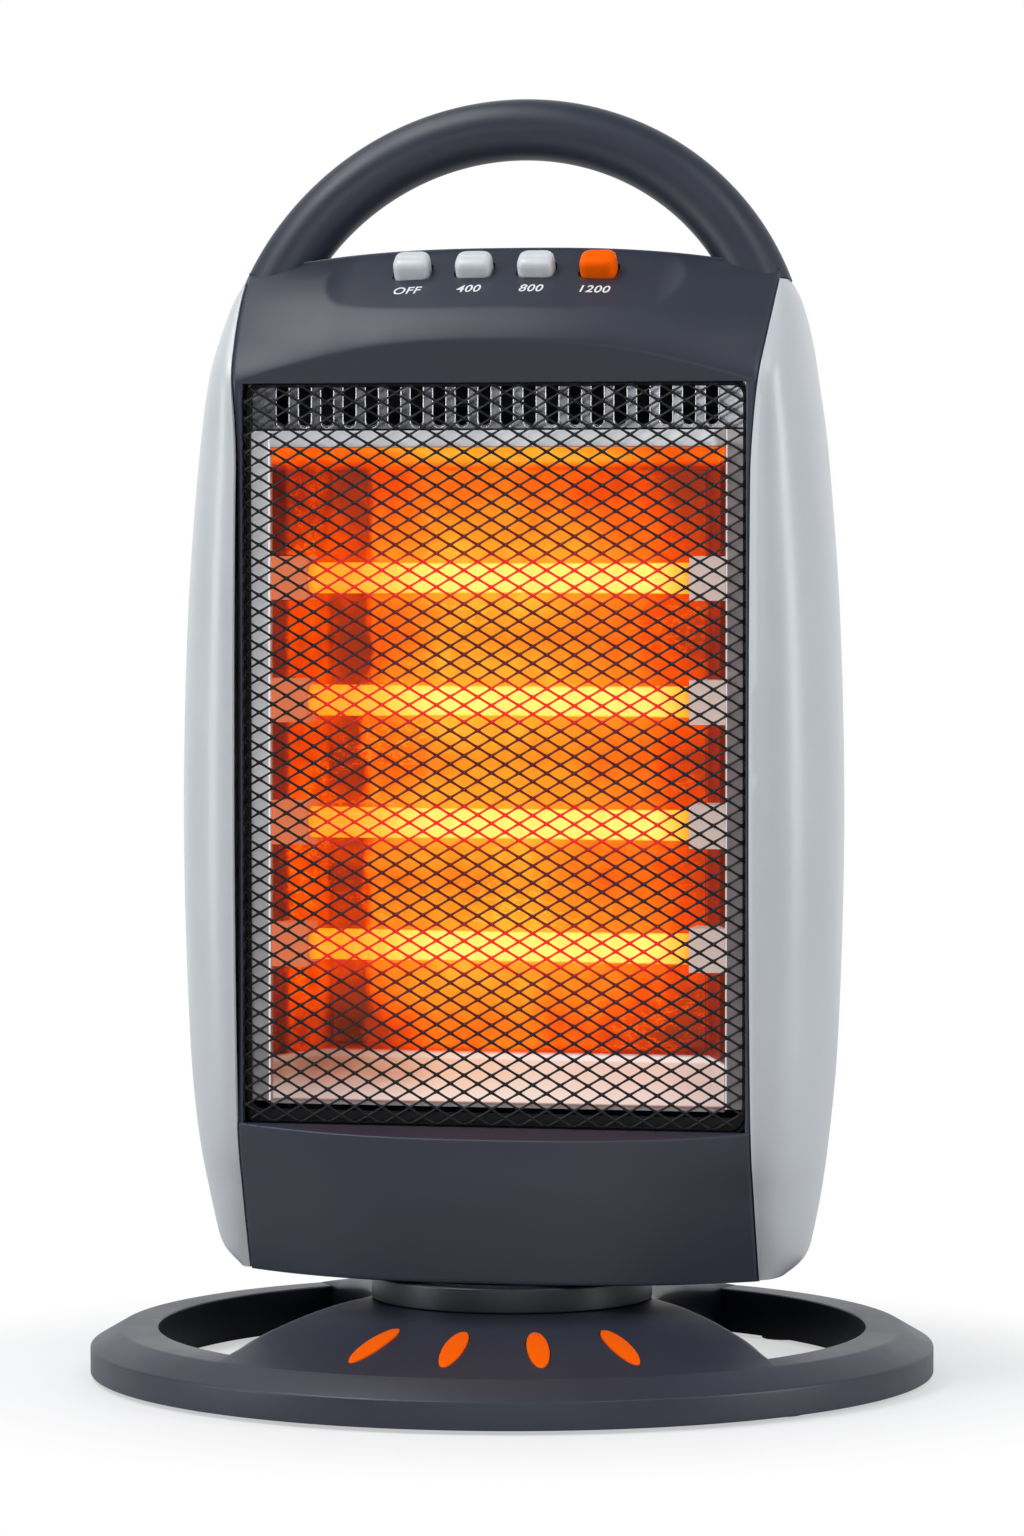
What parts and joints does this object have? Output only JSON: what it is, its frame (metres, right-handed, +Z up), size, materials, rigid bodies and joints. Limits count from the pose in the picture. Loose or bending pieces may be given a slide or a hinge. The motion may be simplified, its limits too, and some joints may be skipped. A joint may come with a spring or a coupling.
{
  "type": "halogen heater",
  "caption": "Free-standing halogen heater: quartz lamps in a reflector behind a mesh guard, push keys, carrying handle, and a head that swivels on a ring base.",
  "frame": {"origin": "centre of the ring base on the floor, on the swivel axis", "axes": "+Z up along the swivel axis, -Y towards the front of the base, +X to the viewer's right"},
  "size_m": [0.33, 0.33, 0.4969],
  "materials": {
    "dark_plastic": "fine-grained satin moulding, blue-grey",
    "silver_plastic": "silver-grey lacquered moulding",
    "orange_plastic": "bright orange moulding",
    "grey_plastic": "light grey moulding",
    "black_plastic": "black moulding",
    "black_mesh": "black enamelled expanded steel",
    "aluminium": "bright rolled reflector sheet",
    "steel": "plain zinc-plated sheet",
    "quartz": "clear quartz, lit",
    "filament": "glowing tungsten",
    "ceramic": "unglazed steatite",
    "rubber": "black rubber"
  },
  "bodies": {
    "base": {"base_shell": "dark_plastic", "base_underplate": "black_plastic", "base_inlay_1": "orange_plastic", "base_inlay_2": "orange_plastic", "base_inlay_3": "orange_plastic", "base_inlay_4": "orange_plastic", "foot_1": "rubber", "foot_2": "rubber", "foot_3": "rubber", "foot_4": "rubber", "cord_gland": "rubber", "swivel_collar": "dark_plastic", "swivel_washer": "steel", "tip_switch_body": "black_plastic"},
    "head": {"swivel_turntable": "black_plastic", "retaining_ring": "steel", "front_housing": "dark_plastic", "rear_housing": "dark_plastic", "side_panel_left": "silver_plastic", "side_panel_right": "silver_plastic", "handle": "dark_plastic", "switch_block": "black_plastic", "guard": "black_mesh", "reflector_pan": "aluminium", "reflector_side_left": "aluminium", "reflector_side_right": "aluminium", "vent_baffle": "aluminium", "heat_shield": "steel", "lamp_bracket_left": "steel", "lamp_bracket_right": "steel", "lamp_tube_1": "quartz", "lamp_tube_2": "quartz", "lamp_tube_3": "quartz", "lamp_tube_4": "quartz", "lamp_filament_1": "filament", "lamp_filament_2": "filament", "lamp_filament_3": "filament", "lamp_filament_4": "filament", "lamp_ceramic_left_1": "ceramic", "lamp_ceramic_left_2": "ceramic", "lamp_ceramic_left_3": "ceramic", "lamp_ceramic_left_4": "ceramic", "lamp_ceramic_right_1": "ceramic", "lamp_ceramic_right_2": "ceramic", "lamp_ceramic_right_3": "ceramic", "lamp_ceramic_right_4": "ceramic", "terminal_block": "ceramic", "thermal_cutout": "steel"},
    "off_key": {"key_off": "grey_plastic"},
    "low_key": {"key_400": "grey_plastic"},
    "middle_key": {"key_800": "grey_plastic"},
    "high_key": {"key_1200": "orange_plastic"},
    "tip_plunger": {"tip_switch_plunger": "grey_plastic"}
  },
  "joints": [
    {"name": "head_swivel", "type": "hinge", "parent": "base", "child": "head", "pos_m": [0, 0, 0.038], "axis": [0, 0, 1], "range_deg": [-26, 44]},
    {"name": "off_press", "type": "slide", "parent": "head", "child": "off_key", "axis": [0.0879, 0.5552, -0.8271], "range_m": [0, 0.0035], "stiffness_N_per_m": 600, "springref_m": -0.002},
    {"name": "low_press", "type": "slide", "parent": "head", "child": "low_key", "axis": [0.0879, 0.5552, -0.8271], "range_m": [0, 0.0035], "stiffness_N_per_m": 600, "springref_m": -0.002},
    {"name": "middle_press", "type": "slide", "parent": "head", "child": "middle_key", "axis": [0.0879, 0.5552, -0.8271], "range_m": [0, 0.0035], "stiffness_N_per_m": 600, "springref_m": -0.002},
    {"name": "high_press", "type": "slide", "parent": "head", "child": "high_key", "axis": [0.0879, 0.5552, -0.8271], "range_m": [0, 0.0035], "stiffness_N_per_m": 600, "springref_m": -0.002},
    {"name": "tip_plunger_drop", "type": "slide", "parent": "base", "child": "tip_plunger", "axis": [0, 0, -1], "range_m": [0, 0.004], "stiffness_N_per_m": 120, "springref_m": 0.012}
  ]
}
